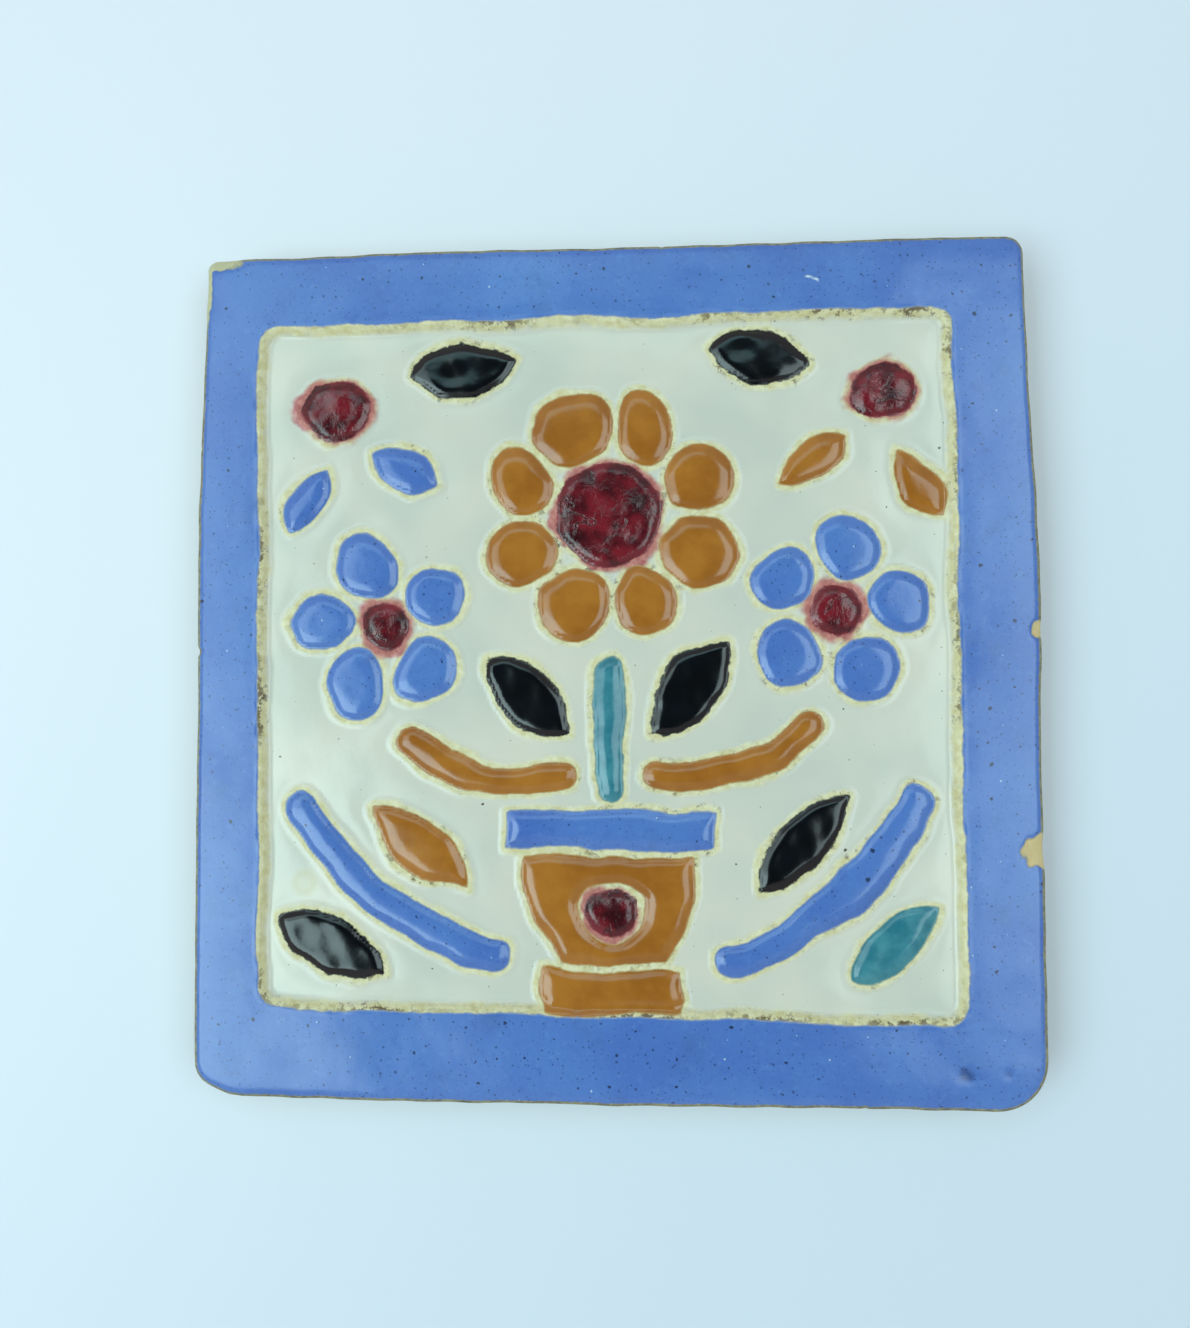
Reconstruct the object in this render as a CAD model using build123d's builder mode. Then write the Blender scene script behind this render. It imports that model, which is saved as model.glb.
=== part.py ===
from build123d import *

import os
from math import cos, radians, sin, tan

# A pressed and hand-glazed tile, lying face up. X runs across its picture and Y up it.
# The origin is in the middle of the back. All lengths are in millimetres.

# Clay block: four sides, two of them bowed, and four unlike corners
overall_width = 150.2
overall_length = 152.4
tile_thickness = 11.0
left_bow = 0.4
right_bow = 0.8
top_left_round = 1.8
top_right_round = 3.4
bottom_right_round = 8.5
bottom_left_cut_across = 6.0
bottom_left_cut_up = 3.4
bottom_left_round = 4.0
back_edge_bevel = 0.5
face_edge_bevel = 0.6

# Sunken field inside the raised border, with a bare ridge between the two
left_border = 10.9
right_border = 12.5
top_border = 13.0
bottom_border = 14.8
field_depth = 1.6
field_slope = 35.0
field_corner_round = 3.4
ridge_width = 0.9
ridge_height = 0.35
ridge_slope = 40.0

# Raised pads of the picture stand on the field with a bare line between them
pad_height = 0.9
pad_edge_bevel = 0.6
pad_corner_round = 1.1
line_gap = 1.2

# The picture is drawn from its ground line up for a flat of this size, and is made smaller
# or larger as a whole to fit another flat. It stands a little right of the middle.
picture_width = 122.8
picture_height = 121.8
picture_offset = 1.0

# Flower pot, from the ground up
pot_foot_width = 25.0
pot_foot_height = 5.0
pot_base_width = 19.0
pot_mouth_width = 31.0
pot_body_height = 19.0
pot_belly = 1.8
pot_boss_radius = 4.4
rim_width = 38.0
rim_height = 6.4

# Large middle flower
rosette_center = (0.0, 87.4)
rosette_petals = 8
rosette_heart_radius = 9.4
rosette_radius = 24.5
petal_wander = 0.7
petal_wander_pace = 2.4

# Side flowers: round petals about a heart
flower_petals = 5
flower_heart_radius = 4.4
flower_petal_radius = 5.7
left_flower = (-41.5, 67.4)
left_flower_turn = 102.0
right_flower = (40.5, 69.9)
right_flower_turn = 78.0

# Stems and branches are bent bars with round ends
stem_width = 4.8
side_stem_width = 5.2
side_stem_bend = 3.6
left_stem_root = (-8.4, 40.8)
left_stem_tip = (-36.0, 46.8)
right_stem_root = (8.4, 40.8)
right_stem_tip = (35.5, 49.2)
branch_width = 6.6
branch_bend = 4.0
left_branch_root = (-21.0, 8.9)
left_branch_tip = (-56.0, 34.4)
right_branch_root = (22.0, 8.4)
right_branch_tip = (54.5, 36.4)

# Leaves, each from a root to a tip
leaf_breadth = 11.0
left_leaf_root = (-6.6, 47.8)
left_leaf_tip = (-22.5, 61.9)
right_leaf_root = (6.8, 48.8)
right_leaf_tip = (21.5, 63.9)
small_leaf_breadth = 9.6
left_branch_leaf_root = (-25.5, 20.9)
left_branch_leaf_tip = (-43.0, 34.9)
right_branch_leaf_root = (26.0, 20.9)
right_branch_leaf_tip = (42.0, 36.9)
left_corner_leaf_root = (-42.0, 5.0)
left_corner_leaf_tip = (-59.2, 16.4)
right_corner_leaf_root = (42.5, 5.0)
right_corner_leaf_tip = (57.6, 17.8)
left_top_leaf_root = (-17.0, 116.9)
left_top_leaf_tip = (-36.0, 112.9)
right_top_leaf_root = (17.5, 117.4)
right_top_leaf_tip = (36.0, 114.4)

# Buds in the upper corners: a round bud between two small leaves
bud_radius = 5.8
left_bud = (-50.5, 107.9)
right_bud = (49.5, 108.9)
bud_leaf_length = 14.0
bud_leaf_width = 7.2
bud_leaf_side = 26.0
bud_leaf_spread = 44.0
left_bud_turn = -74.0
right_bud_turn = -104.0

# Edges and levels that follow from the sizes above
block_left = left_bow - overall_width / 2
block_right = overall_width / 2 - right_bow
block_top = overall_length / 2
block_bottom = -block_top
field_left = block_left + left_border
field_right = block_right - right_border
field_top = block_top - top_border
field_bottom = block_bottom + bottom_border
field_level = tile_thickness - field_depth
field_center = ((field_left + field_right) / 2, (field_top + field_bottom) / 2)
field_width = field_right - field_left
field_height = field_top - field_bottom
wall_run = (field_depth + ridge_height) * tan(radians(field_slope))
flat_width = field_width - 2 * wall_run
flat_height = field_height - 2 * wall_run
picture_scale = min(flat_width / picture_width, flat_height / picture_height)
picture_middle = field_center[0] + picture_offset
picture_ground = field_bottom + wall_run
foot_level = line_gap
body_level = foot_level + pot_foot_height + line_gap
rim_level = body_level + pot_body_height + line_gap
stem_root_level = rim_level + rim_height + line_gap
stem_tip_level = rosette_center[1] - rosette_radius - line_gap

# How far a raised shape starts inside what carries it
overlap = 0.01


def polar(center, distance, angle):
    """Point at a distance and angle in degrees from a centre."""
    return (
        center[0] + distance * cos(radians(angle)),
        center[1] + distance * sin(radians(angle)),
    )


def round_shape(center, radius):
    """Round pad."""
    with Locations(center):
        Circle(radius)


def bent_bar(root, tip, width, bend):
    """Bar of even width with round ends, bent to one side."""
    with BuildLine(mode=Mode.PRIVATE) as path:
        SagittaArc(root, tip, bend)
    SlotArc(path.edge(), width)


def leaf(root, tip, breadth):
    """Leaf between two arcs, from its root to its tip, with its points rounded."""
    with BuildSketch(mode=Mode.PRIVATE) as blade:
        with BuildLine():
            SagittaArc(root, tip, breadth / 2)
            SagittaArc(tip, root, breadth / 2)
        make_face()
        fillet(blade.vertices(), pad_corner_round)
    add(blade.sketch)


def petal(center, inner_distance, outer_distance, inner_radius, outer_radius, angle):
    """Petal wrapped about a small and a large circle."""
    with BuildSketch(mode=Mode.PRIVATE) as wrap:
        with Locations(polar(center, inner_distance, angle)):
            Circle(inner_radius)
        with Locations(polar(center, outer_distance, angle)):
            Circle(outer_radius)
        make_hull()
    add(wrap.sketch)


def rosette(center, count, heart_radius, radius):
    """Heart and close petals, every petal a line gap from its neighbours."""
    round_shape(center, heart_radius)
    share = sin(radians(180 / count))
    inner = (heart_radius + line_gap / 2) / (1 - share)
    for number in range(count):
        reach = radius - petal_wander * (1 + sin(petal_wander_pace * number))
        outer = (reach + line_gap / 2) / (1 + share)
        petal(
            center,
            inner,
            outer,
            inner * share - line_gap / 2,
            outer * share - line_gap / 2,
            360 / count * (number + 0.5),
        )


def flower(center, turn):
    """Heart with separate round petals about it."""
    round_shape(center, flower_heart_radius)
    distance = flower_heart_radius + line_gap + flower_petal_radius
    for number in range(flower_petals):
        round_shape(
            polar(center, distance, turn + 360 / flower_petals * number),
            flower_petal_radius,
        )


def bud(center, turn):
    """Round bud held between two small leaves."""
    round_shape(center, bud_radius)
    for side in (-1, 1):
        root = polar(center, bud_radius + line_gap + bud_leaf_width / 2, turn + side * bud_leaf_side)
        leaf(root, polar(root, bud_leaf_length, turn + side * bud_leaf_spread), bud_leaf_width)


def pot():
    """Foot, bellied body with a ring cut round its boss, and rim of the pot."""
    with BuildSketch(mode=Mode.PRIVATE) as pieces:
        with BuildLine():
            base = Line((-pot_base_width / 2, body_level), (pot_base_width / 2, body_level))
            mouth = Line(
                (pot_mouth_width / 2, body_level + pot_body_height),
                (-pot_mouth_width / 2, body_level + pot_body_height),
            )
            SagittaArc(base @ 1, mouth @ 0, -pot_belly)
            SagittaArc(mouth @ 1, base @ 0, -pot_belly)
        make_face()
        with Locations((0, foot_level + pot_foot_height / 2)):
            Rectangle(pot_foot_width, pot_foot_height)
        with Locations((0, rim_level + rim_height / 2)):
            Rectangle(rim_width, rim_height)
        fillet(pieces.vertices(), pad_corner_round)
        with Locations((0, body_level + pot_body_height / 2)):
            Circle(pot_boss_radius + line_gap, mode=Mode.SUBTRACT)
            Circle(pot_boss_radius)
    add(pieces.sketch)


with BuildPart() as tile:
    # Clay block
    with BuildSketch() as block:
        with BuildLine():
            Line((block_left, block_bottom), (block_right, block_bottom))
            SagittaArc((block_right, block_bottom), (block_right, block_top), -right_bow)
            Line((block_right, block_top), (block_left, block_top))
            SagittaArc((block_left, block_top), (block_left, block_bottom), -left_bow)
        make_face()
        fillet(block.vertices().sort_by_distance((block_left, block_top))[0], top_left_round)
        fillet(block.vertices().sort_by_distance((block_right, block_top))[0], top_right_round)
        fillet(block.vertices().sort_by_distance((block_right, block_bottom))[0], bottom_right_round)
        chamfer(
            block.vertices().sort_by_distance((block_left, block_bottom))[0],
            bottom_left_cut_across,
            bottom_left_cut_up,
        )
        fillet(block.vertices().sort_by_distance((block_left, block_bottom))[0:2], bottom_left_round)
    extrude(amount=tile_thickness)
    chamfer(tile.faces().sort_by(Axis.Z)[0].edges(), back_edge_bevel)
    chamfer(tile.faces().sort_by(Axis.Z)[-1].edges(), face_edge_bevel)

    # Ridge round the field
    with BuildSketch(Plane.XY.offset(tile_thickness - overlap)):
        with Locations(field_center):
            RectangleRounded(
                field_width + 2 * ridge_width,
                field_height + 2 * ridge_width,
                field_corner_round + ridge_width,
            )
    extrude(amount=ridge_height + overlap, taper=ridge_slope)

    # Sunken field
    with BuildSketch(Plane.XY.offset(tile_thickness + ridge_height)):
        with Locations(field_center):
            RectangleRounded(field_width, field_height, field_corner_round)
    extrude(amount=-(field_depth + ridge_height), taper=field_slope, mode=Mode.SUBTRACT)

    # Raised pads of the picture
    with BuildSketch(Plane((picture_middle, picture_ground, field_level - overlap))):
        pot()
        with Locations((0, (stem_root_level + stem_tip_level) / 2)):
            SlotOverall(stem_tip_level - stem_root_level, stem_width, rotation=90)
        rosette(rosette_center, rosette_petals, rosette_heart_radius, rosette_radius)
        flower(left_flower, left_flower_turn)
        flower(right_flower, right_flower_turn)
        bent_bar(left_stem_root, left_stem_tip, side_stem_width, side_stem_bend)
        bent_bar(right_stem_root, right_stem_tip, side_stem_width, -side_stem_bend)
        bent_bar(left_branch_root, left_branch_tip, branch_width, branch_bend)
        bent_bar(right_branch_root, right_branch_tip, branch_width, -branch_bend)
        leaf(left_leaf_root, left_leaf_tip, leaf_breadth)
        leaf(right_leaf_root, right_leaf_tip, leaf_breadth)
        leaf(left_branch_leaf_root, left_branch_leaf_tip, small_leaf_breadth)
        leaf(right_branch_leaf_root, right_branch_leaf_tip, small_leaf_breadth)
        leaf(left_corner_leaf_root, left_corner_leaf_tip, small_leaf_breadth)
        leaf(right_corner_leaf_root, right_corner_leaf_tip, small_leaf_breadth)
        leaf(left_top_leaf_root, left_top_leaf_tip, small_leaf_breadth)
        leaf(right_top_leaf_root, right_top_leaf_tip, small_leaf_breadth)
        bud(left_bud, left_bud_turn)
        bud(right_bud, right_bud_turn)
        scale(by=picture_scale)
    extrude(amount=pad_height + overlap)
    pad_tops = tile.faces().filter_by(Plane.XY).filter_by_position(
        Axis.Z, field_level + pad_height - overlap, field_level + pad_height + overlap
    )
    chamfer(pad_tops.edges(), pad_edge_bevel)

tile.part.label = "tile"

os.makedirs("parts", exist_ok=True)
export_step(tile.part, "parts/tile.step")
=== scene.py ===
from math import asin, atan2, cos, hypot, pi, radians, sin, tan

import bpy
import numpy as np
from mathutils import Matrix, Vector


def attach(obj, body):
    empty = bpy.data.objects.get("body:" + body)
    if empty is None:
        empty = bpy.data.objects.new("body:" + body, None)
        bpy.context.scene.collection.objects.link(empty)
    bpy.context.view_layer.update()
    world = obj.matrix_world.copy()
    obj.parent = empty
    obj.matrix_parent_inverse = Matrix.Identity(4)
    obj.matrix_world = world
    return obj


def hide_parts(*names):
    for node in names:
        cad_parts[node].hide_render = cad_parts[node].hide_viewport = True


# A hand-painted glazed tile. Its face, rim, side and back are one mesh over the CAD solid,
# shaped in millimetres. The colours follow distances to the drawn outlines, kept as
# attributes of the mesh.

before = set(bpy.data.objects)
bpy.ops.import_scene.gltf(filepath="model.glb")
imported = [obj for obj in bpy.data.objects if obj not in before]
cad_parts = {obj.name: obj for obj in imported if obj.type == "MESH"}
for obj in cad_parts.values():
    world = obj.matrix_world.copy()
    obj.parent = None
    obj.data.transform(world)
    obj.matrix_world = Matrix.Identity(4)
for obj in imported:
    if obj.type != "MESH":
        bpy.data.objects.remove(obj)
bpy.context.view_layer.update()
scene = bpy.context.scene
MM = 0.001

# Sizes of the CAD solid
overall_width = 150.2
overall_length = 152.4
tile_thickness = 11.0
left_bow = 0.4
right_bow = 0.8
top_left_round = 1.8
top_right_round = 3.4
bottom_right_round = 8.5
left_border = 10.9
right_border = 12.5
top_border = 13.0
bottom_border = 14.8
field_depth = 1.6
field_slope = 35.0
field_corner_round = 3.4
ridge_height = 0.35
line_gap = 1.2
picture_offset = 1.0

# Places that follow from them
block_left = left_bow - overall_width / 2
block_right = overall_width / 2 - right_bow
block_top = overall_length / 2
block_bottom = -block_top
field_left = block_left + left_border
field_right = block_right - right_border
field_top = block_top - top_border
field_bottom = block_bottom + bottom_border
field_level = tile_thickness - field_depth
wall_run = (field_depth + ridge_height) * tan(radians(field_slope))
picture_middle = (field_left + field_right) / 2 + picture_offset
picture_ground = field_bottom + wall_run

# Sizes of the picture
pot_foot_width = 25.0
pot_foot_height = 5.0
pot_foot_taper = 0.7
pot_foot_lap = 0.3
pot_base_width = 19.0
pot_mouth_width = 31.0
pot_body_height = 19.0
pot_belly = 1.8
pot_boss_radius = 4.4
rim_width = 38.0
rim_height = 6.4
stem_width = 4.8
rosette_center = (0.0, 87.4)
rosette_petals = 8
rosette_heart_radius = 9.4
rosette_radius = 24.5
petal_wander = 0.7
petal_wander_pace = 2.4
flower_petals = 5
flower_heart_radius = 4.4
flower_petal_radius = 5.7
bud_radius = 5.8
bud_leaf_root = 3.6
bud_leaf_length = 14.0
bud_leaf_breadth = 7.2
bud_leaf_spread = 26.0
bud_leaf_lean = 44.0


def waves(x, y, length, seed, count=16):
    """Smooth noise of unit spread whose bumps are about that long, the same each run."""
    rng = np.random.default_rng(seed)
    turns = rng.uniform(0, 2 * pi, count)
    phases = rng.uniform(0, 2 * pi, count)
    paces = rng.uniform(0.7, 1.5, count)
    total = np.zeros_like(x)
    for turn, phase, pace in zip(turns, phases, paces):
        total += np.sin(2 * pi * pace / length * (x * cos(turn) + y * sin(turn)) + phase)
    return total / (count / 2) ** 0.5


def swell(t):
    """Round shoulder from 0 to 1."""
    t = np.clip(t, 0, 1)
    return 1 - (1 - t) ** 2


def bump(t):
    """Bell that is 1 at 0."""
    return np.exp(-t * t)


# Outlines


def arc_points(start, end, sagitta, count=24):
    """Points of an arc whose middle bulges to the left of start-to-end by sagitta."""
    a, b = np.array(start, float), np.array(end, float)
    along = b - a
    span = hypot(*along)
    left = np.array([-along[1], along[0]]) / span
    t = np.linspace(0, 1, count)
    if abs(sagitta) < 1e-6:
        return a + np.outer(t, along)
    radius = (span * span / 4 + sagitta * sagitta) / (2 * abs(sagitta))
    half = asin(min(1, span / 2 / radius))
    sweep = np.linspace(-half, half, count)
    across = np.sin(sweep) * radius + span / 2
    up = (np.cos(sweep) - cos(half)) * radius * (1 if sagitta > 0 else -1)
    return a + np.outer(across / span, along) + np.outer(up, left)


def polar(center, distance, angle):
    turned = radians(angle)
    return (center[0] + distance * cos(turned), center[1] + distance * sin(turned))


def disc(center, radius, count=48):
    t = np.linspace(0, 2 * pi, count, endpoint=False)
    return np.column_stack([center[0] + radius * np.cos(t), center[1] + radius * np.sin(t)])


def bar(root, tip, width, bend):
    """Bent bar with round ends. A bend above zero bulges to the left of root-to-tip."""
    middle = arc_points(root, tip, bend, 30)
    step = np.gradient(middle, axis=0)
    step /= np.hypot(step[:, 0], step[:, 1])[:, None]
    side = np.column_stack([-step[:, 1], step[:, 0]]) * width / 2
    t = np.linspace(-pi / 2, pi / 2, 14)[1:-1]
    ends = []
    for center, ahead in ((middle[-1], step[-1]), (middle[0], -step[0])):
        turned = atan2(ahead[1], ahead[0]) + t
        ends.append(center + np.column_stack([np.cos(turned), np.sin(turned)]) * width / 2)
    return np.vstack([middle - side, ends[0], (middle + side)[::-1], ends[1]])


def leaf(root, tip, breadth):
    one = arc_points(root, tip, breadth / 2)
    other = arc_points(tip, root, breadth / 2)
    return np.vstack([one[:-1], other[:-1]])


def turns_left(a, b, c):
    return (b[0] - a[0]) * (c[1] - a[1]) > (b[1] - a[1]) * (c[0] - a[0])


def hull(points):
    """Convex outline round the points, anticlockwise."""
    order = sorted(map(tuple, points))
    halves = []
    for run in (order, order[::-1]):
        chain = []
        for point in run:
            while len(chain) > 1 and not turns_left(chain[-2], chain[-1], point):
                chain.pop()
            chain.append(point)
        halves += chain[:-1]
    return np.array(halves)


# Picture: a pot of flowers, drawn from the middle of its ground line
pads = []


def pad(glaze, outline):
    pads.append((glaze, np.asarray(outline, float) + (picture_middle, picture_ground)))


def rosette(center, count, heart, radius, glazes):
    """Heart with petals about it, whose reach wanders a little."""
    pad(glazes[0], disc(center, heart))
    share = sin(pi / count)
    inner = (heart + line_gap / 2) / (1 - share)
    for number in range(count):
        reach = radius - petal_wander * (1 + sin(petal_wander_pace * number))
        outer = (reach + line_gap / 2) / (1 + share)
        angle = 360 / count * (number + 0.5)
        rounds = [disc(polar(center, d, angle), d * share - line_gap / 2) for d in (inner, outer)]
        pad(glazes[1], hull(np.vstack(rounds)))


def flower(center, turn, glazes):
    """Heart with round petals about it."""
    pad(glazes[0], disc(center, flower_heart_radius))
    reach = flower_heart_radius + line_gap + flower_petal_radius
    for number in range(flower_petals):
        petal = polar(center, reach, turn + 360 / flower_petals * number)
        pad(glazes[1], disc(petal, flower_petal_radius))


def bud(center, turn, glazes):
    """Round bud with two narrow leaves below it."""
    pad(glazes[0], disc(center, bud_radius))
    for side in (-1, 1):
        root = polar(center, bud_radius + line_gap + bud_leaf_root, turn + side * bud_leaf_spread)
        tip = polar(root, bud_leaf_length, turn + side * bud_leaf_lean)
        pad(glazes[1], leaf(root, tip, bud_leaf_breadth))


foot_level = line_gap
foot_top = foot_level + pot_foot_height
body_level = foot_top + line_gap
mouth_level = body_level + pot_body_height
rim_level = mouth_level + line_gap
rim_top = rim_level + rim_height
stem_root_level = rim_top + line_gap
stem_tip_level = rosette_center[1] - rosette_radius - line_gap
boss = (0, body_level + pot_body_height / 2)
half_foot = pot_foot_width / 2
half_base = pot_base_width / 2
half_mouth = pot_mouth_width / 2
half_rim = rim_width / 2

# Foot, which narrows where it runs down over the ridge to the border
half_end = half_foot - pot_foot_taper
foot_end = pot_foot_lap - wall_run
pad("amber", [
    (-half_end, foot_end), (half_end, foot_end), (half_foot, foot_level),
    (half_foot, foot_top), (-half_foot, foot_top), (-half_foot, foot_level),
])

# Body with its boss, rim and middle stem
pad("amber", np.vstack([
    arc_points((half_base, body_level), (half_mouth, mouth_level), -pot_belly)[:-1],
    arc_points((half_mouth, mouth_level), (-half_mouth, mouth_level), 0)[:-1],
    arc_points((-half_mouth, mouth_level), (-half_base, body_level), -pot_belly)[:-1],
    arc_points((-half_base, body_level), (half_base, body_level), 0)[:-1],
]))
pot_body = pads[-1][1]
pad("maroon", disc(boss, pot_boss_radius))
pad("blue", [(-half_rim, rim_level), (half_rim, rim_level), (half_rim, rim_top), (-half_rim, rim_top)])
stem_ends = [(0, stem_root_level + stem_width / 2), (0, stem_tip_level - stem_width / 2)]
pad("teal", bar(*stem_ends, stem_width, 0))
rosette(rosette_center, rosette_petals, rosette_heart_radius, rosette_radius, ("maroon", "amber"))
flower((-41.5, 67.4), 102, ("maroon", "blue"))
flower((40.5, 69.9), 78, ("maroon", "blue"))

# Side stems and branches: glaze, root, tip, width, bend
for glaze, root, tip, width, bend in (
    ("amber", (-8.4, 40.8), (-36.0, 46.8), 5.2, 3.6),
    ("amber", (8.4, 40.8), (35.5, 49.2), 5.2, -3.6),
    ("blue", (-21.0, 8.9), (-56.0, 34.4), 6.6, 4.0),
    ("blue", (22.0, 8.4), (54.5, 36.4), 6.6, -4.0),
):
    pad(glaze, bar(root, tip, width, bend))

# Leaves: glaze, root, tip, breadth
for glaze, root, tip, breadth in (
    ("black", (-6.6, 47.8), (-22.5, 61.9), 11.0),
    ("black", (6.8, 48.8), (21.5, 63.9), 11.0),
    ("amber", (-25.5, 20.9), (-43.0, 34.9), 9.6),
    ("black", (26.0, 20.9), (42.0, 36.9), 9.6),
    ("black", (-42.0, 5.0), (-59.2, 16.4), 9.6),
    ("teal", (42.5, 5.0), (57.6, 17.8), 9.6),
    ("black", (-17.0, 116.9), (-36.0, 112.9), 9.6),
    ("black", (17.5, 117.4), (36.0, 114.4), 9.6),
):
    pad(glaze, leaf(root, tip, breadth))
bud((-50.5, 107.9), -74, ("maroon", "blue"))
bud((49.5, 108.9), -104, ("maroon", "amber"))


# Distances


def inside_distance(outline, x, y):
    """Distance from each point to a closed outline, below zero inside it."""
    px, py = x[:, None], y[:, None]
    ax, ay = outline[:, 0], outline[:, 1]
    bx, by = np.roll(ax, -1), np.roll(ay, -1)
    ex, ey = bx - ax, by - ay
    t = np.clip(((px - ax) * ex + (py - ay) * ey) / (ex * ex + ey * ey), 0, 1)
    near = np.sqrt(((px - ax - t * ex) ** 2 + (py - ay - t * ey) ** 2).min(axis=1))
    crosses = (ay > py) != (by > py)
    with np.errstate(divide="ignore", invalid="ignore"):
        hit = crosses & (px < ax + (py - ay) * ex / ey)
    return np.where(hit.sum(axis=1) % 2 == 1, -near, near)


def pad_distance(outline, x, y, reach=6.0):
    """inside_distance, worked out only near the outline and held at reach beyond it."""
    low, high = outline.min(axis=0) - reach, outline.max(axis=0) + reach
    close = (x > low[0]) & (x < high[0]) & (y > low[1]) & (y < high[1])
    out = np.full(x.shape, reach)
    out[close] = np.minimum(inside_distance(outline, x[close], y[close]), reach)
    return out


def rounded_box_distance(x, y, left, right, bottom, top, corner):
    qx = np.abs(x - (left + right) / 2) - (right - left) / 2 + corner
    qy = np.abs(y - (bottom + top) / 2) - (top - bottom) / 2 + corner
    outside = np.hypot(np.maximum(qx, 0), np.maximum(qy, 0))
    return outside + np.minimum(np.maximum(qx, qy), 0) - corner


# Rim of the clay block, as points evenly spread on each side between corner middles
cells = 236


def corner_arc(center, radius, start, end, count=20):
    t = np.radians(np.linspace(start, end, count))
    return np.column_stack([center[0] + radius * np.cos(t), center[1] + radius * np.sin(t)])


def side_of(points, count):
    """count points evenly spread along a chain of points, without the last one."""
    run = np.concatenate([[0], np.cumsum(np.hypot(*np.diff(points, axis=0).T))])
    want = np.linspace(0, run[-1], count, endpoint=False)
    return np.column_stack([np.interp(want, run, points[:, 0]), np.interp(want, run, points[:, 1])])


r1, r2, r3 = bottom_right_round, top_right_round, top_left_round
lower_right = corner_arc((block_right - r1, block_bottom + r1), r1, -90, 0)
upper_right = corner_arc((block_right - r2, block_top - r2), r2, 0, 90)
upper_left = corner_arc((block_left + r3, block_top - r3), r3, 90, 180)
slant = [(0, 7.0), (0.12, 4.9), (0.55, 3.7), (1.25, 2.75), (2.3, 1.95), (4.1, 1.1), (6.3, 0.3), (8.6, 0)]
lower_left = np.array([block_left, block_bottom]) + slant
right_arc = arc_points(lower_right[-1], upper_right[0], -right_bow, 40)[1:-1]
left_arc = arc_points(upper_left[-1], lower_left[0], -left_bow, 40)[1:-1]
sides = (
    np.vstack([lower_left[4:], lower_right[:10]]),
    np.vstack([lower_right[9:], right_arc, upper_right[:10]]),
    np.vstack([upper_right[9:], upper_left[:10]]),
    np.vstack([upper_left[9:], left_arc, lower_left[:5]]),
)
rim = np.vstack([side_of(points, cells) for points in sides])
run = np.roll(rim, -1, axis=0) - np.roll(rim, 1, axis=0)
outward = np.column_stack([run[:, 1], -run[:, 0]]) / np.hypot(run[:, 0], run[:, 1])[:, None]

# Grid points in the middle of the face, joined to the rim by rings
grid_past_field = 2.5
ring_count = 24
low = np.array([field_left - grid_past_field, field_bottom - grid_past_field])
high = np.array([field_right + grid_past_field, field_top + grid_past_field])
columns = np.linspace(low[0], high[0], cells + 1)
rows = np.linspace(low[1], high[1], cells + 1)
gx, gy = np.meshgrid(columns, rows, indexing="ij")
grid_points = (cells + 1) ** 2
index = np.arange(grid_points).reshape(cells + 1, cells + 1)
last = np.concatenate([index[:-1, 0], index[-1, :-1], index[:0:-1, -1], index[0, :0:-1]])
count = len(last)
quads = [index[:-1, :-1], index[1:, :-1], index[1:, 1:], index[:-1, 1:]]
faces = [np.column_stack([corner.ravel() for corner in quads])]
points = [np.column_stack([gx.ravel(), gy.ravel()])]
base = points[0][last]
total = grid_points
shares = [1 - (1 - t) ** 1.25 for t in np.linspace(0, 1, ring_count + 1)[1:]]


def band(upper, lower):
    """Quads between two rings of points."""
    return np.column_stack([upper, lower, np.roll(lower, -1), np.roll(upper, -1)])


for share in shares:
    new = np.arange(total, total + count)
    points.append(base + (rim - base) * share)
    faces.append(band(last, new))
    last, total = new, total + count
flat = np.vstack(points)
x, y = flat[:, 0], flat[:, 1]

# Hand-cut, nicked edge: how far each stretch stands out, by its places along the side
uneven = 0.05 * waves(rim[:, 0], rim[:, 1], 10, 4) + 0.025 * waves(rim[:, 0], rim[:, 1], 3.5, 5)
pushes = (
    # Bottom, along X
    (0, (-75, -60, -40, -25, -12, 0, 15, 30, 45, 55, 68),
     (0.1, 0.3, 0.6, 0.7, 0.5, 0.8, 0.7, 0.6, 0.4, 0.5, 0.8)),
    # Right, along Y
    (1, (-74, -60, -43, -24, -10, 5, 15, 30, 40, 50, 64, 76),
     (0.9, 0.6, 0.4, 0.1, 0.0, 0.5, 0.6, 0.4, 0.0, -0.25, -0.4, -0.2)),
    # Top, along X
    (0, (-75, -50, -35, -20, 0, 20, 40, 75), (0.2, 0.25, 0.55, 0.5, 0.3, 0.25, 0.4, 0.3)),
    # Left, along Y
    (1, (-76, 0, 10, 20, 33, 45, 60, 76), (0.2, 0.25, 0.5, 0.6, 0.5, 0.3, 0.0, 0.0)),
)
for number, (along, places, push) in enumerate(pushes):
    part = slice(number * cells, (number + 1) * cells)
    uneven[part] += np.interp(rim[part, along], places, push)
for _ in range(6):
    uneven = (np.roll(uneven, 1) + uneven + np.roll(uneven, -1)) / 3
nicks = -0.35 * np.clip(waves(rim[:, 0], rim[:, 1], 5, 8) - 1.9, 0, 1)

# Distance to the rim, as far as it matters. The rings near the rim then take its unevenness.
rim_reach = 14.0
batch = 6000
from_rim = np.full(x.shape, rim_reach)
for start in range(grid_points, len(x), batch):
    part = slice(start, start + batch)
    from_rim[part] = -inside_distance(rim, x[part], y[part])
from_rim = np.clip(from_rim, 0, rim_reach)
for place, share in enumerate(shares):
    part = slice(grid_points + place * count, grid_points + (place + 1) * count)
    x[part] += share ** 3 * (uneven + nicks) * outward[:, 0]
    y[part] += share ** 3 * (uneven + nicks) * outward[:, 1]

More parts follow.
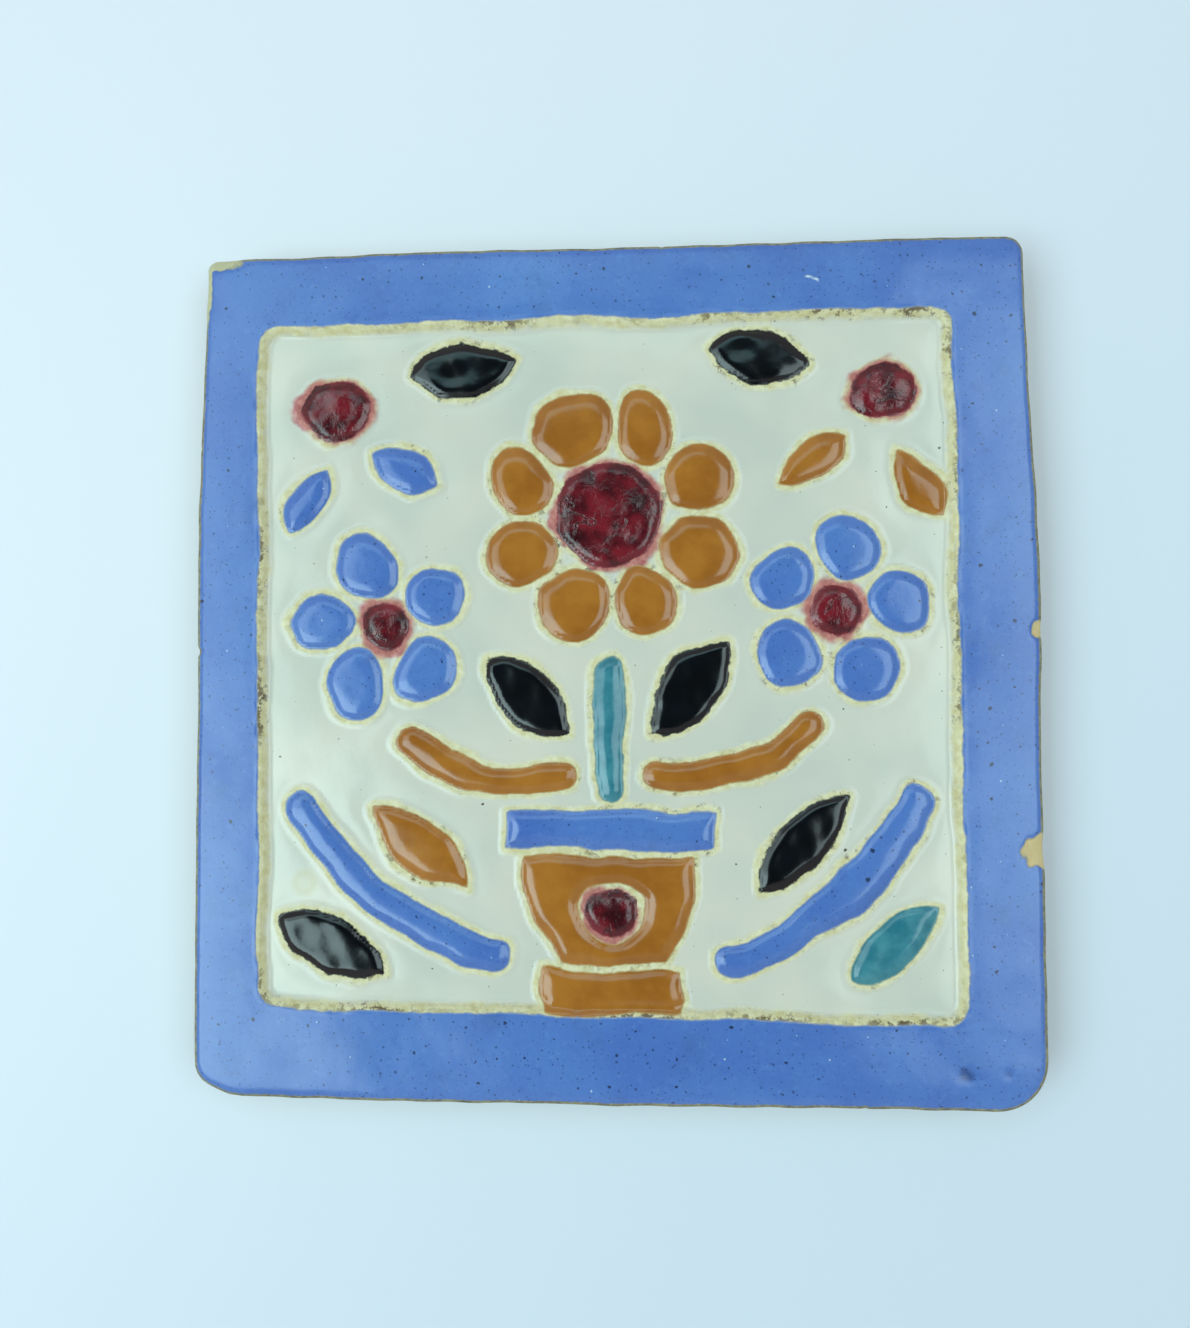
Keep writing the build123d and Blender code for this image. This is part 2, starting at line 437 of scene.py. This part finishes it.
# Drawn shapes wander a little, as a brush and a tool do
wx = x + 0.45 * waves(x, y, 24, 11) + 0.13 * waves(x, y, 8, 12)
wy = y + 0.45 * waves(x, y, 24, 13) + 0.13 * waves(x, y, 8, 14)
glazes = ("blue", "amber", "maroon", "black", "teal")
distance = {name: np.full(x.shape, 6.0) for name in glazes}
boss_place = (picture_middle, picture_ground + boss[1])
for name, shape in pads:
    away = pad_distance(shape, wx, wy)
    if shape is pot_body:
        away = np.maximum(away, -pad_distance(disc(boss_place, pot_boss_radius + line_gap), wx, wy))
    distance[name] = np.minimum(distance[name], away)
near = np.minimum.reduce(list(distance.values()))

# The field's sides lean a little, each corner by its own amount
field_span = 124
u, v = x / field_span + 0.5, y / field_span + 0.5
lean_x = 0.6 * (1 - u) * (1 - v) - 0.9 * (1 - u) * v - 0.6 * u * v
lean_y = 0.7 * (1 - u) * (1 - v) - 1.0 * u * (1 - v) + 0.65 * u * v
field = rounded_box_distance(
    x + 0.4 * (wx - x) - lean_x, y + 0.4 * (wy - y) - lean_y,
    field_left, field_right, field_bottom, field_top, field_corner_round,
)

# Height of the face: the wall of the field, the ridge, slow waves and the rounded rim
slope_width = 1.9
wall = np.clip((field + slope_width) / slope_width, 0, 1)
ease = 3 * wall ** 2 - 2 * wall ** 3
z = field_level + (tile_thickness - field_level) * ease
z += 0.16 * bump((field + 0.5) / 0.5) * (1 + 0.5 * waves(x, y, 5, 21))
z += 0.06 * waves(x, y, 34, 22) + 0.014 * waves(x, y, 11, 23)
z += 0.05 * swell((field - 0.6) / 3.5) * (field > 0.6)
z -= 0.5 * (1 - swell(from_rim / 1.3)) + 0.3 * (1 - swell(from_rim / 5.0))

# Pooled white glaze, and the thin raised line round each colour
cream = np.minimum(-field - 1.7, near - 1.05)
z += 0.16 * swell(cream / 5.0)
z += 0.34 * bump((near - 0.6) / 0.42) * (field < -1.0)

# Pools of coloured glaze: height and width of the rounded shoulder
pools = {
    "blue": (0.95, 3.4),
    "amber": (0.95, 3.4),
    "maroon": (1.0, 2.4),
    "black": (0.85, 2.0),
    "teal": (0.9, 3.2),
}
for name, (height, width) in pools.items():
    z += height * (1 - (1 - np.clip(-distance[name] / width, 0, 1)) ** 3) * (1 - ease)
lumps = 0.08 * waves(x, y, 6, 31) + 0.02 * waves(x, y, 2.5, 32)
z += swell(-distance["maroon"] / 1.2) * lumps
z += swell(-distance["black"] / 1.2) * 0.05 * waves(x, y, 6, 33)


def chip(cx, cy, wide, tall, deep):
    """deep in the middle of a chip, falling to 0 at its ragged outline."""
    ragged = 1 + 0.09 * waves(x, y, 2.6, 41)
    return np.clip(1.3 - np.hypot((x - cx) / wide, (y - cy) / tall) * ragged, 0, 1) * deep


# Chipped upper left corner, gouge and chip on the right edge, pits at the lower right
chips = chip(block_left + 1.0, block_top - 0.2, 5.4, 1.9, 0.9)
chips = np.maximum(chips, chip(block_left + 0.1, block_top - 4.0, 1.0, 8.0, 0.8))
gouge = chip(block_right + 0.5, -32.4, 3.2, 2.7, 1.0)
gouge = np.maximum(gouge, chip(block_right + 0.6, 6.0, 1.2, 1.5, 0.8))
z -= 0.7 * np.clip(np.maximum(chips, gouge), 0, 1)
pits = np.maximum(chip(61.0, -70.6, 1.6, 1.4, 1.0), chip(68.2, -70.3, 1.1, 1.0, 0.5))
z -= 0.18 * pits

# Soiled stretches of the ridge: place and reach
soil = np.zeros_like(x)
for cx, cy, reach in (
    (40, 62, 9), (54, 63, 8), (62, 55, 5), (-61, -57, 4), (-42, -60.5, 9),
    (28, -62, 8), (50, -62.5, 9), (-64, 20, 9), (-20, 61.5, 7),
):
    soil = np.maximum(soil, bump(np.hypot(x - cx, y - cy) / reach))

# White scratch at the upper right and ring stain at the lower left
scratch = pad_distance(bar((35.6, 69.95), (38.0, 69.05), 0.4, 0.12), x, y)
from_stain = np.hypot(x + 55.4, y + 38.6)
stain = bump((from_stain - 1.7) / 0.7) + 0.5 * bump(from_stain / 1.0)

# Side and back: inset and height of each ring below the face
layers = (
    (0.0, z[last] - 0.45), (0.03, 9.1), (0.08, 7.6), (0.12, 6.0), (0.12, 4.4),
    (0.12, 2.8), (0.1, 1.3), (0.22, 0.5), (0.55, 0.12), (1.0, 0.0),
)
xs, ys, zs = [x], [y], [z]
edge_x, edge_y = x[last], y[last]
side_faces = []
for level, (inset, height) in enumerate(layers):
    shift = inset
    if 0 < level < len(layers) - 1:
        shift = inset + 0.08 * waves(rim[:, 0] + 31 * level, rim[:, 1], 5, 52)
    xs.append(edge_x - outward[:, 0] * shift)
    ys.append(edge_y - outward[:, 1] * shift)
    zs.append(np.broadcast_to(height, edge_x.shape))
    new = np.arange(total, total + count)
    side_faces.append(band(last, new))
    last, total = new, total + count
back_faces = []
for share in (0.96, 0.5):
    xs.append(xs[len(layers)] * share)
    ys.append(ys[len(layers)] * share)
    zs.append(np.zeros(count))
    new = np.arange(total, total + count)
    back_faces.append(band(last, new))
    last, total = new, total + count
for values in (xs, ys, zs):
    values.append(np.array([0.0]))
fan = np.column_stack([last, np.full(count, total), np.roll(last, -1)])
X, Y, Z = np.concatenate(xs), np.concatenate(ys), np.concatenate(zs)
face_quads = np.vstack(faces)
side_quads = np.vstack(side_faces)
back_quads = np.vstack(back_faces)
mesh = bpy.data.meshes.new("glazed_tile")
mesh.from_pydata(
    (np.column_stack([X, Y, Z]) * MM).tolist(), [],
    face_quads.tolist() + side_quads.tolist() + back_quads.tolist() + fan.tolist(),
)
mesh.polygons.foreach_set("use_smooth", [True] * len(mesh.polygons))


def attribute(name, values, filler):
    """Keeps values for the face's points and the filler for the side and the back."""
    full = np.full(len(X), float(filler))
    full[:len(values)] = values
    mesh.attributes.new(name, "FLOAT", "POINT").data.foreach_set("value", full)


for name in glazes:
    attribute(name + "_edge", distance[name], 6)
attribute("near_edge", near, 6)
attribute("field_edge", np.clip(field, -9, 9), 9)
attribute("rim_edge", from_rim, -1)
attribute("chips", chips, 0)
attribute("gouge", gouge, 0)
attribute("pits", pits, 0)
attribute("scratch", scratch, 6)
attribute("soil", soil, 0)
attribute("stain", stain, 0)

# The face fills most of the map, the side and the back a narrow part of it


def map_from(left, bottom, size):
    """Map places of all points, seen from above, in a square of that size."""
    return np.column_stack([left + (X + 80) / 160 * size, bottom + (Y + 80) / 160 * size])


face_uv = map_from(0.01, 0.01, 0.92)
back_uv = map_from(0.95, 0.01, 0.04)
side_u = 0.01 + np.arange(count + 1) / count * 0.98
side_v = 0.985 - 0.04 * np.arange(len(layers) + 1) / len(layers)
uvs = [face_uv[face_quads].reshape(-1, 2)]
for upper, lower in zip(side_v[:-1], side_v[1:]):
    corner = np.empty((count, 4, 2))
    for slot, (across, up) in enumerate((
        (side_u[:-1], upper), (side_u[:-1], lower), (side_u[1:], lower), (side_u[1:], upper),
    )):
        corner[:, slot, 0] = across
        corner[:, slot, 1] = up
    uvs.append(corner.reshape(-1, 2))
uvs += [back_uv[back_quads].reshape(-1, 2), back_uv[fan].reshape(-1, 2)]
mesh.uv_layers.new(name="OFBake").data.foreach_set("uv", np.vstack(uvs).ravel())
tile = bpy.data.objects.new("glazed_tile", mesh)
scene.collection.objects.link(tile)


# Materials


class Shading:
    """Short calls for building one material's nodes, in millimetres."""

    def __init__(self, name):
        self.material = bpy.data.materials.new(name)
        self.material.use_nodes = True
        self.tree = self.material.node_tree
        self.tree.nodes.clear()
        self.spot = self.node("ShaderNodeTexCoord").outputs["Object"]
        self.spot = self.vector("MULTIPLY", self.spot, (1000, 1000, 1000))

    def fill(self, slot, value):
        if isinstance(value, bpy.types.NodeSocket):
            self.tree.links.new(value, slot)
        else:
            slot.default_value = value

    def node(self, kind, inputs=None, **settings):
        made = self.tree.nodes.new(kind)
        for name, value in settings.items():
            setattr(made, name, value)
        for name, value in (inputs or {}).items():
            self.fill(made.inputs[name], value)
        return made

    def vector(self, operation, a, b):
        return self.node("ShaderNodeVectorMath", {0: a, 1: b}, operation=operation).outputs[0]

    def math(self, operation, a, b=0.0, c=0.0, clamp=False):
        made = self.node("ShaderNodeMath", {0: a, 1: b, 2: c}, operation=operation, use_clamp=clamp)
        return made.outputs[0]

    def plus(self, a, b):
        return self.math("ADD", a, b)

    def minus(self, a, b):
        return self.math("SUBTRACT", a, b)

    def times(self, a, b):
        return self.math("MULTIPLY", a, b)

    def most(self, first, *others):
        """Largest of all the values."""
        for other in others:
            first = self.math("MAXIMUM", first, other)
        return first

    def attribute(self, name):
        return self.node("ShaderNodeAttribute", attribute_name=name).outputs["Fac"]

    def noise(self, length, detail=3.0, rough=0.55, shift=0.0):
        """Noise from about -1 to 1, with bumps about that many millimetres long."""
        spot = self.vector("ADD", self.spot, (shift, shift * 0.7, shift * 0.3))
        inputs = {"Vector": spot, "Scale": 1 / length, "Detail": detail, "Roughness": rough}
        fac = self.node("ShaderNodeTexNoise", inputs).outputs["Fac"]
        return self.times(self.minus(fac, 0.5), 4.0)

    def ramp(self, value, low, high):
        """0 below low and 1 above high, eased, also where low is above high."""
        inputs = {"Value": value, "From Min": low, "From Max": high}
        return self.node("ShaderNodeMapRange", inputs, interpolation_type="SMOOTHSTEP").outputs[0]

    def mix(self, share, a, b):
        made = self.node("ShaderNodeMix", data_type="RGBA")
        for slot, value in ((0, share), (6, a), (7, b)):
            self.fill(made.inputs[slot], value)
        return made.outputs[2]

    def two_tone(self, one, other, noise, low, high):
        """One colour where the noise is below low and the other where it is above high."""
        return self.mix(self.ramp(noise, low, high), one, other)

    def mottle(self, colour, tint, share, noise, low, high):
        """Lays a tint over the colour in patches, up to that share."""
        return self.mix(self.times(self.ramp(noise, low, high), share), colour, tint)

    def specks(self, cell, size, share, shift):
        """Round specks: one in a share of the cells, each up to that radius."""
        inputs = {"Vector": self.spot, "Scale": 0.6 / size, "Detail": 2.0}
        ragged = self.node("ShaderNodeTexNoise", inputs).outputs["Color"]
        spot = self.vector("ADD", self.spot, self.vector("MULTIPLY", ragged, (size * 1.6,) * 3))
        spot = self.vector("ADD", spot, (shift, shift * 1.7, 0))
        inputs = {"Vector": spot, "Scale": 1 / cell}
        made = self.node("ShaderNodeTexVoronoi", inputs, voronoi_dimensions="2D")
        away = self.times(made.outputs["Distance"], cell)
        chance = self.node("ShaderNodeSeparateColor", {"Color": made.outputs["Color"]})
        pick = self.ramp(chance.outputs[0], 1 - share, 1 - share + 0.01)
        spread = self.math("POWER", chance.outputs[1], 2.5)
        radius = self.math("MULTIPLY_ADD", spread, size * 0.75, size * 0.25)
        return self.times(self.ramp(self.math("DIVIDE", away, radius), 1.15, 0.75), pick)


def rgb(red, green, blue):
    """Linear colour of an 8-bit screen colour."""
    shares = (red / 255, green / 255, blue / 255)
    return tuple(c / 12.92 if c <= 0.04045 else ((c + 0.055) / 1.055) ** 2.4 for c in shares) + (1.0,)


s = Shading("painted_glazes")
near_edge = s.attribute("near_edge")
field_edge = s.attribute("field_edge")
rim_edge = s.attribute("rim_edge")
maroon_edge = s.attribute("maroon_edge")
black_edge = s.attribute("black_edge")
chipped = s.attribute("chips")
gouged = s.attribute("gouge")
fine = s.noise(0.8, 3, shift=21)
rag = s.noise(1.6, 4, 0.6, shift=31)

# Bare buff lines and ridge, with brown flecks in soiled stretches, more of them on the ridge's side
# towards the border
buff = s.two_tone(rgb(231, 227, 186), rgb(212, 203, 148), s.noise(1.6, 4), -0.8, 0.9)
soiled = s.most(s.ramp(s.noise(20, 2, shift=9), -0.3, 0.9), s.attribute("soil"))
foot = s.times(s.ramp(field_edge, -0.9, -0.2), 0.45)
grime = s.times(soiled, s.ramp(s.plus(s.noise(1.7, 4, 0.75, shift=3), foot), 0.1, 0.6))
buff = s.mix(s.times(grime, 0.95), buff, rgb(92, 72, 42))

# Clay: dark along the rim of the face, paler on the side and back, palest where it is chipped
clay = s.two_tone(rgb(158, 154, 116), rgb(104, 98, 72), s.noise(1.1, 5, 0.65, shift=5), -0.8, 0.9)
body = s.two_tone(rgb(222, 205, 168), rgb(200, 182, 144), s.noise(2.4, 5, 0.6, shift=6), -1.0, 1.0)
clay = s.mix(s.ramp(rim_edge, -0.2, -0.9), clay, body)
clay = s.mix(s.times(s.ramp(chipped, 0.1, 0.4), 0.8), clay, rgb(214, 211, 168))
clay = s.mix(s.times(s.ramp(gouged, 0.1, 0.4), 0.85), clay, rgb(228, 204, 148))

# White glaze of the field, melting raggedly into the buff lines
white = s.two_tone(rgb(220, 218, 201), rgb(206, 209, 197), s.noise(20, 2, shift=41), -0.9, 0.9)
inner_gap = s.math("MINIMUM", s.minus(near_edge, 0.75), s.minus(s.times(field_edge, -1.0), 1.25))
melt = s.plus(s.times(rag, 0.28), s.times(s.noise(7, 2, shift=35), 0.3))
in_white = s.ramp(s.plus(inner_gap, melt), -0.4, 0.7)
colour = s.mix(in_white, buff, white)
specks = s.most(s.specks(9.0, 0.3, 0.35, 3.0), s.times(s.specks(4.0, 0.16, 0.3, 5.0), 0.6))
colour = s.mix(s.times(specks, in_white), colour, rgb(96, 84, 66))
colour = s.mix(s.times(s.attribute("stain"), 0.42), colour, rgb(200, 192, 140))

# Blue glaze, mottled at several scales
blue = s.two_tone(rgb(75, 113, 189), rgb(87, 128, 199), s.noise(26, 2, shift=51), -0.8, 0.8)
for tint, share, length, detail, rough, shift, low, high in (
    (rgb(74, 107, 165), 0.5, 9, 4, 0.6, 53, 0.1, 1.2),
    (rgb(61, 97, 174), 0.4, 2.6, 3, 0.65, 55, 0.1, 1.1),
    (rgb(112, 156, 213), 0.35, 1.9, 4, 0.7, 58, 0.1, 1.2),
    (rgb(118, 156, 211), 0.25, 0.8, 4, 0.75, 61, 0.1, 1.2),
    (rgb(54, 86, 151), 0.45, 0.9, 4, 0.75, 65, 0.3, 1.1),
):
    blue = s.mottle(blue, tint, share, s.noise(length, detail, rough, shift), low, high)

# Amber glaze
amber = s.two_tone(rgb(158, 97, 30), rgb(178, 116, 42), s.noise(7, 3, shift=71), -0.8, 0.8)
amber = s.mottle(amber, rgb(196, 148, 76), 0.25, s.noise(0.8, 4, 0.7, shift=81), 0.3, 1.2)
amber = s.mottle(amber, rgb(132, 82, 26), 0.4, s.noise(1.8, 4, 0.7, shift=85), 0.5, 1.3)

# Maroon glaze, with dark creases where it crawled
maroon = s.two_tone(rgb(52, 6, 14), rgb(126, 28, 40), s.noise(4.5, 4, 0.6, shift=91), -0.8, 0.8)
crease = s.plus(s.noise(7, 2, 0.5, shift=95), s.times(s.noise(2, 3, shift=97), 0.2))
crease = s.ramp(s.math("ABSOLUTE", crease), 0.14, 0.02)
crease = s.times(crease, s.ramp(s.noise(7, 1, shift=99), 0.0, 0.5))
maroon = s.mix(s.times(crease, 0.7), maroon, rgb(44, 8, 16))
maroon = s.mottle(maroon, rgb(170, 60, 70), 0.35, s.noise(0.6, 3, 0.7, shift=98), 0.5, 1.3)

# Black and teal glazes
black = s.two_tone(rgb(1, 5, 9), rgb(5, 13, 19), s.noise(5, 3, shift=101), -0.5, 1.0)
teal = s.two_tone(rgb(43, 118, 136), rgb(70, 141, 154), s.noise(3, 3, shift=111), -0.8, 0.8)


def glaze(colour, edge, tint, ragged, soft=0.35, rind=rgb(190, 180, 120)):
    """Lays a glaze over colour where edge is below zero, thinner towards its edge."""
    wander = s.plus(edge, s.times(rag, ragged))
    thin = s.ramp(wander, 0.25, -0.1)
    full = s.ramp(wander, 0.15, -soft)
    mild = s.mix(0.45, tint, rind)
    return s.mix(full, s.mix(thin, colour, mild), tint)


# Red halo round the maroon, then the glazes in their order
halo = s.plus(maroon_edge, s.times(s.noise(7, 3, shift=121), 1.6))
halo = s.times(s.ramp(halo, 1.5, 0.1), 0.85)
blush = s.two_tone(rgb(164, 40, 58), rgb(204, 112, 110), s.noise(1.4, 4, 0.7, shift=123), -0.6, 0.8)
colour = s.mix(halo, colour, blush)
colour = glaze(colour, s.attribute("amber_edge"), amber, 0.16)
colour = glaze(colour, s.attribute("blue_edge"), blue, 0.14)
colour = glaze(colour, s.attribute("teal_edge"), teal, 0.16)
colour = glaze(colour, maroon_edge, maroon, 0.34, rind=rgb(170, 60, 70))
colour = glaze(colour, black_edge, black, 0.34, 0.15)
border = s.plus(s.times(field_edge, -1.0), s.times(rag, 0.2))
colour = glaze(colour, border, blue, 0.0, 0.3)

# Specks of iron, fainter specks and pinholes in the blue
on_blue = s.most(s.ramp(field_edge, 0.3, 0.8), s.ramp(s.attribute("blue_edge"), -0.1, -0.5))
iron = s.specks(5.0, 0.4, 0.5, 13.0)
faint = s.most(s.specks(2.3, 0.27, 0.75, 23.0), s.specks(1.1, 0.17, 0.65, 43.0))
pin = s.specks(6.0, 0.2, 0.25, 33.0)
colour = s.mix(s.times(s.times(faint, on_blue), 0.72), colour, rgb(44, 68, 118))
colour = s.mix(s.times(s.times(iron, on_blue), 0.85), colour, rgb(28, 40, 66))
colour = s.mix(s.times(s.times(pin, on_blue), 0.8), colour, rgb(180, 204, 226))
colour = s.mix(s.times(s.ramp(s.attribute("scratch"), 0.15, -0.1), 0.85), colour, rgb(214, 228, 232))

# Bare clay at the rim and in the chips, and darker blue in the pits
broken = s.ramp(s.most(chipped, gouged), 0.12, 0.3)
bare = s.most(s.ramp(s.plus(rim_edge, s.times(fine, 0.12)), 0.62, 0.3), broken)
colour = s.mix(bare, colour, clay)
colour = s.mix(s.times(s.ramp(s.attribute("pits"), 0.1, 0.9), 0.7), colour, rgb(48, 68, 122))

# Gloss: dull on bare clay, satin on the border and the white, glossy elsewhere
in_pad = s.ramp(near_edge, 0.1, -0.3)
on_border = s.ramp(field_edge, 0.0, 0.4)
ridge_bare = s.math("SUBTRACT", 1.0, s.most(in_white, in_pad, on_border), clamp=True)
dull = s.most(s.times(ridge_bare, 0.7), bare)
satin = s.times(s.most(s.ramp(field_edge, 0.2, 0.8), in_white), 0.06)
shine = s.plus(s.times(dull, 0.4), s.times(s.ramp(maroon_edge, 0.0, -0.5), 0.01))
roughness = s.plus(s.plus(shine, satin), 0.16)

# Fine relief: wrinkled maroon, slow ripples in the glaze, grit on bare clay
wrinkle = s.minus(s.times(s.noise(0.9, 3, 0.6, shift=131), 0.25), crease)
wrinkle = s.times(wrinkle, s.ramp(maroon_edge, 0.0, -0.6))
peel = s.times(s.noise(3.4, 2, 0.5, shift=141), 0.012)
glazed = s.most(s.ramp(inner_gap, -0.2, 0.5), in_pad, on_border)
rough_clay = s.most(s.ramp(rim_edge, 0.6, 0.3), broken)
rough_clay = s.most(s.times(s.math("SUBTRACT", 1.0, glazed, clamp=True), 0.7), rough_clay)
grit = s.times(s.noise(0.5, 3, 0.7, shift=151), s.times(rough_clay, 0.06))
height = s.plus(s.times(wrinkle, 0.1), s.plus(peel, grit))
relief = s.node("ShaderNodeBump", {"Height": height, "Strength": 1.0, "Distance": MM})
shader = s.node("ShaderNodeBsdfPrincipled", {
    "Base Color": colour, "Roughness": roughness, "IOR": 1.58, "Normal": relief.outputs[0],
})
s.node("ShaderNodeOutputMaterial", {"Surface": shader.outputs[0]})
mesh.materials.append(s.material)

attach(tile, "root")
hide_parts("tile")

# Floor, with painted shade that darkens it a little towards the lower right
f = Shading("pale_table")
place = f.node("ShaderNodeSeparateXYZ", {"Vector": f.spot})
across = f.minus(place.outputs[0], place.outputs[1])
# Painted shade: the floor's colour runs from lighter at the upper left to darker at the lower right
painted_floor_shade = f.two_tone(rgb(234, 239, 247), rgb(216, 228, 239), across, -230.0, 190.0)
paint = f.node("ShaderNodeBsdfPrincipled", {"Base Color": painted_floor_shade, "Roughness": 0.6})
f.node("ShaderNodeOutputMaterial", {"Surface": paint.outputs[0]})
floor_mesh = bpy.data.meshes.new("floor")
floor_corners = [(-3, -3, 0), (3, -3, 0), (3, 3, 0), (-3, 3, 0)]
floor_mesh.from_pydata(floor_corners, [], [(0, 1, 2, 3)])
floor_mesh.materials.append(f.material)
floor = bpy.data.objects.new("floor", floor_mesh)
scene.collection.objects.link(floor)

# World: dim overhead, so that the black glaze stays dark, and a little brighter on the left
world = bpy.data.worlds.new("studio")
scene.world = world
world.use_nodes = True
sky = world.node_tree
background = sky.nodes["Background"]
background.inputs[0].default_value = (1.0, 0.95, 0.96, 1.0)
direction = sky.nodes.new("ShaderNodeSeparateXYZ")
sky.links.new(sky.nodes.new("ShaderNodeTexCoord").outputs["Generated"], direction.inputs[0])


def fade(axis, start, end, at_start, at_end):
    """Brightness that runs between two values along one axis of the sky."""
    made = sky.nodes.new("ShaderNodeMapRange")
    for slot, value in enumerate((start, end, at_start, at_end), 1):
        made.inputs[slot].default_value = value
    sky.links.new(direction.outputs[axis], made.inputs[0])
    return made.outputs[0]


strength = sky.nodes.new("ShaderNodeMath")
strength.operation = "MULTIPLY"
sky.links.new(fade("Z", 0.93, 0.79, 0.04, 0.465), strength.inputs[0])
sky.links.new(fade("X", -0.8, 0.7, 1.16, 0.9), strength.inputs[1])
sky.links.new(strength.outputs[0], background.inputs[1])

# Windows, facing down: name, middle, width, length, power, tint
lamp_height = 0.8
for name, middle, wide, tall, power, tint in (
    ("upper_left_window", (-0.655, 0.19), 0.69, 0.42, 1.8, (0.7, 0.98, 1.0)),
    ("lower_left_window", (-0.64, -0.275), 0.72, 0.51, 4.9, (0.7, 0.98, 1.0)),
    ("top_window", (-0.15, 0.485), 0.6, 0.27, 0.72, (0.5, 0.93, 1.0)),
    ("right_window", (0.5125, 0.05), 0.545, 0.7, 3.3, (0.76, 0.98, 1.0)),
):
    lamp = bpy.data.lights.new(name, "AREA")
    lamp.shape = "RECTANGLE"
    lamp.size = wide
    lamp.size_y = tall
    lamp.energy = power
    lamp.color = tint
    window = bpy.data.objects.new(name, lamp)
    window.location = (*middle, lamp_height)
    scene.collection.objects.link(window)

# Camera, at the place and the angle that the photograph's perspective gives
camera_place = Vector((9.50, -9.71, 195.53 + tile_thickness))
ahead = Vector((-0.061435, 0.052038, -0.996754)).normalized()
above = Vector((0.006814, 0.998639, 0.051717))
eye = bpy.data.cameras.new("camera")
eye.lens = 29.82
eye.sensor_width = 36.0
eye.clip_start = 0.01
camera = bpy.data.objects.new("camera", eye)
across = ahead.cross(above).normalized()
above = across.cross(ahead)
turn = Matrix((across, above, -ahead)).transposed().to_4x4()
camera.matrix_world = Matrix.Translation(camera_place * MM) @ turn
scene.collection.objects.link(camera)
scene.camera = camera
scene.view_settings.view_transform = "Standard"
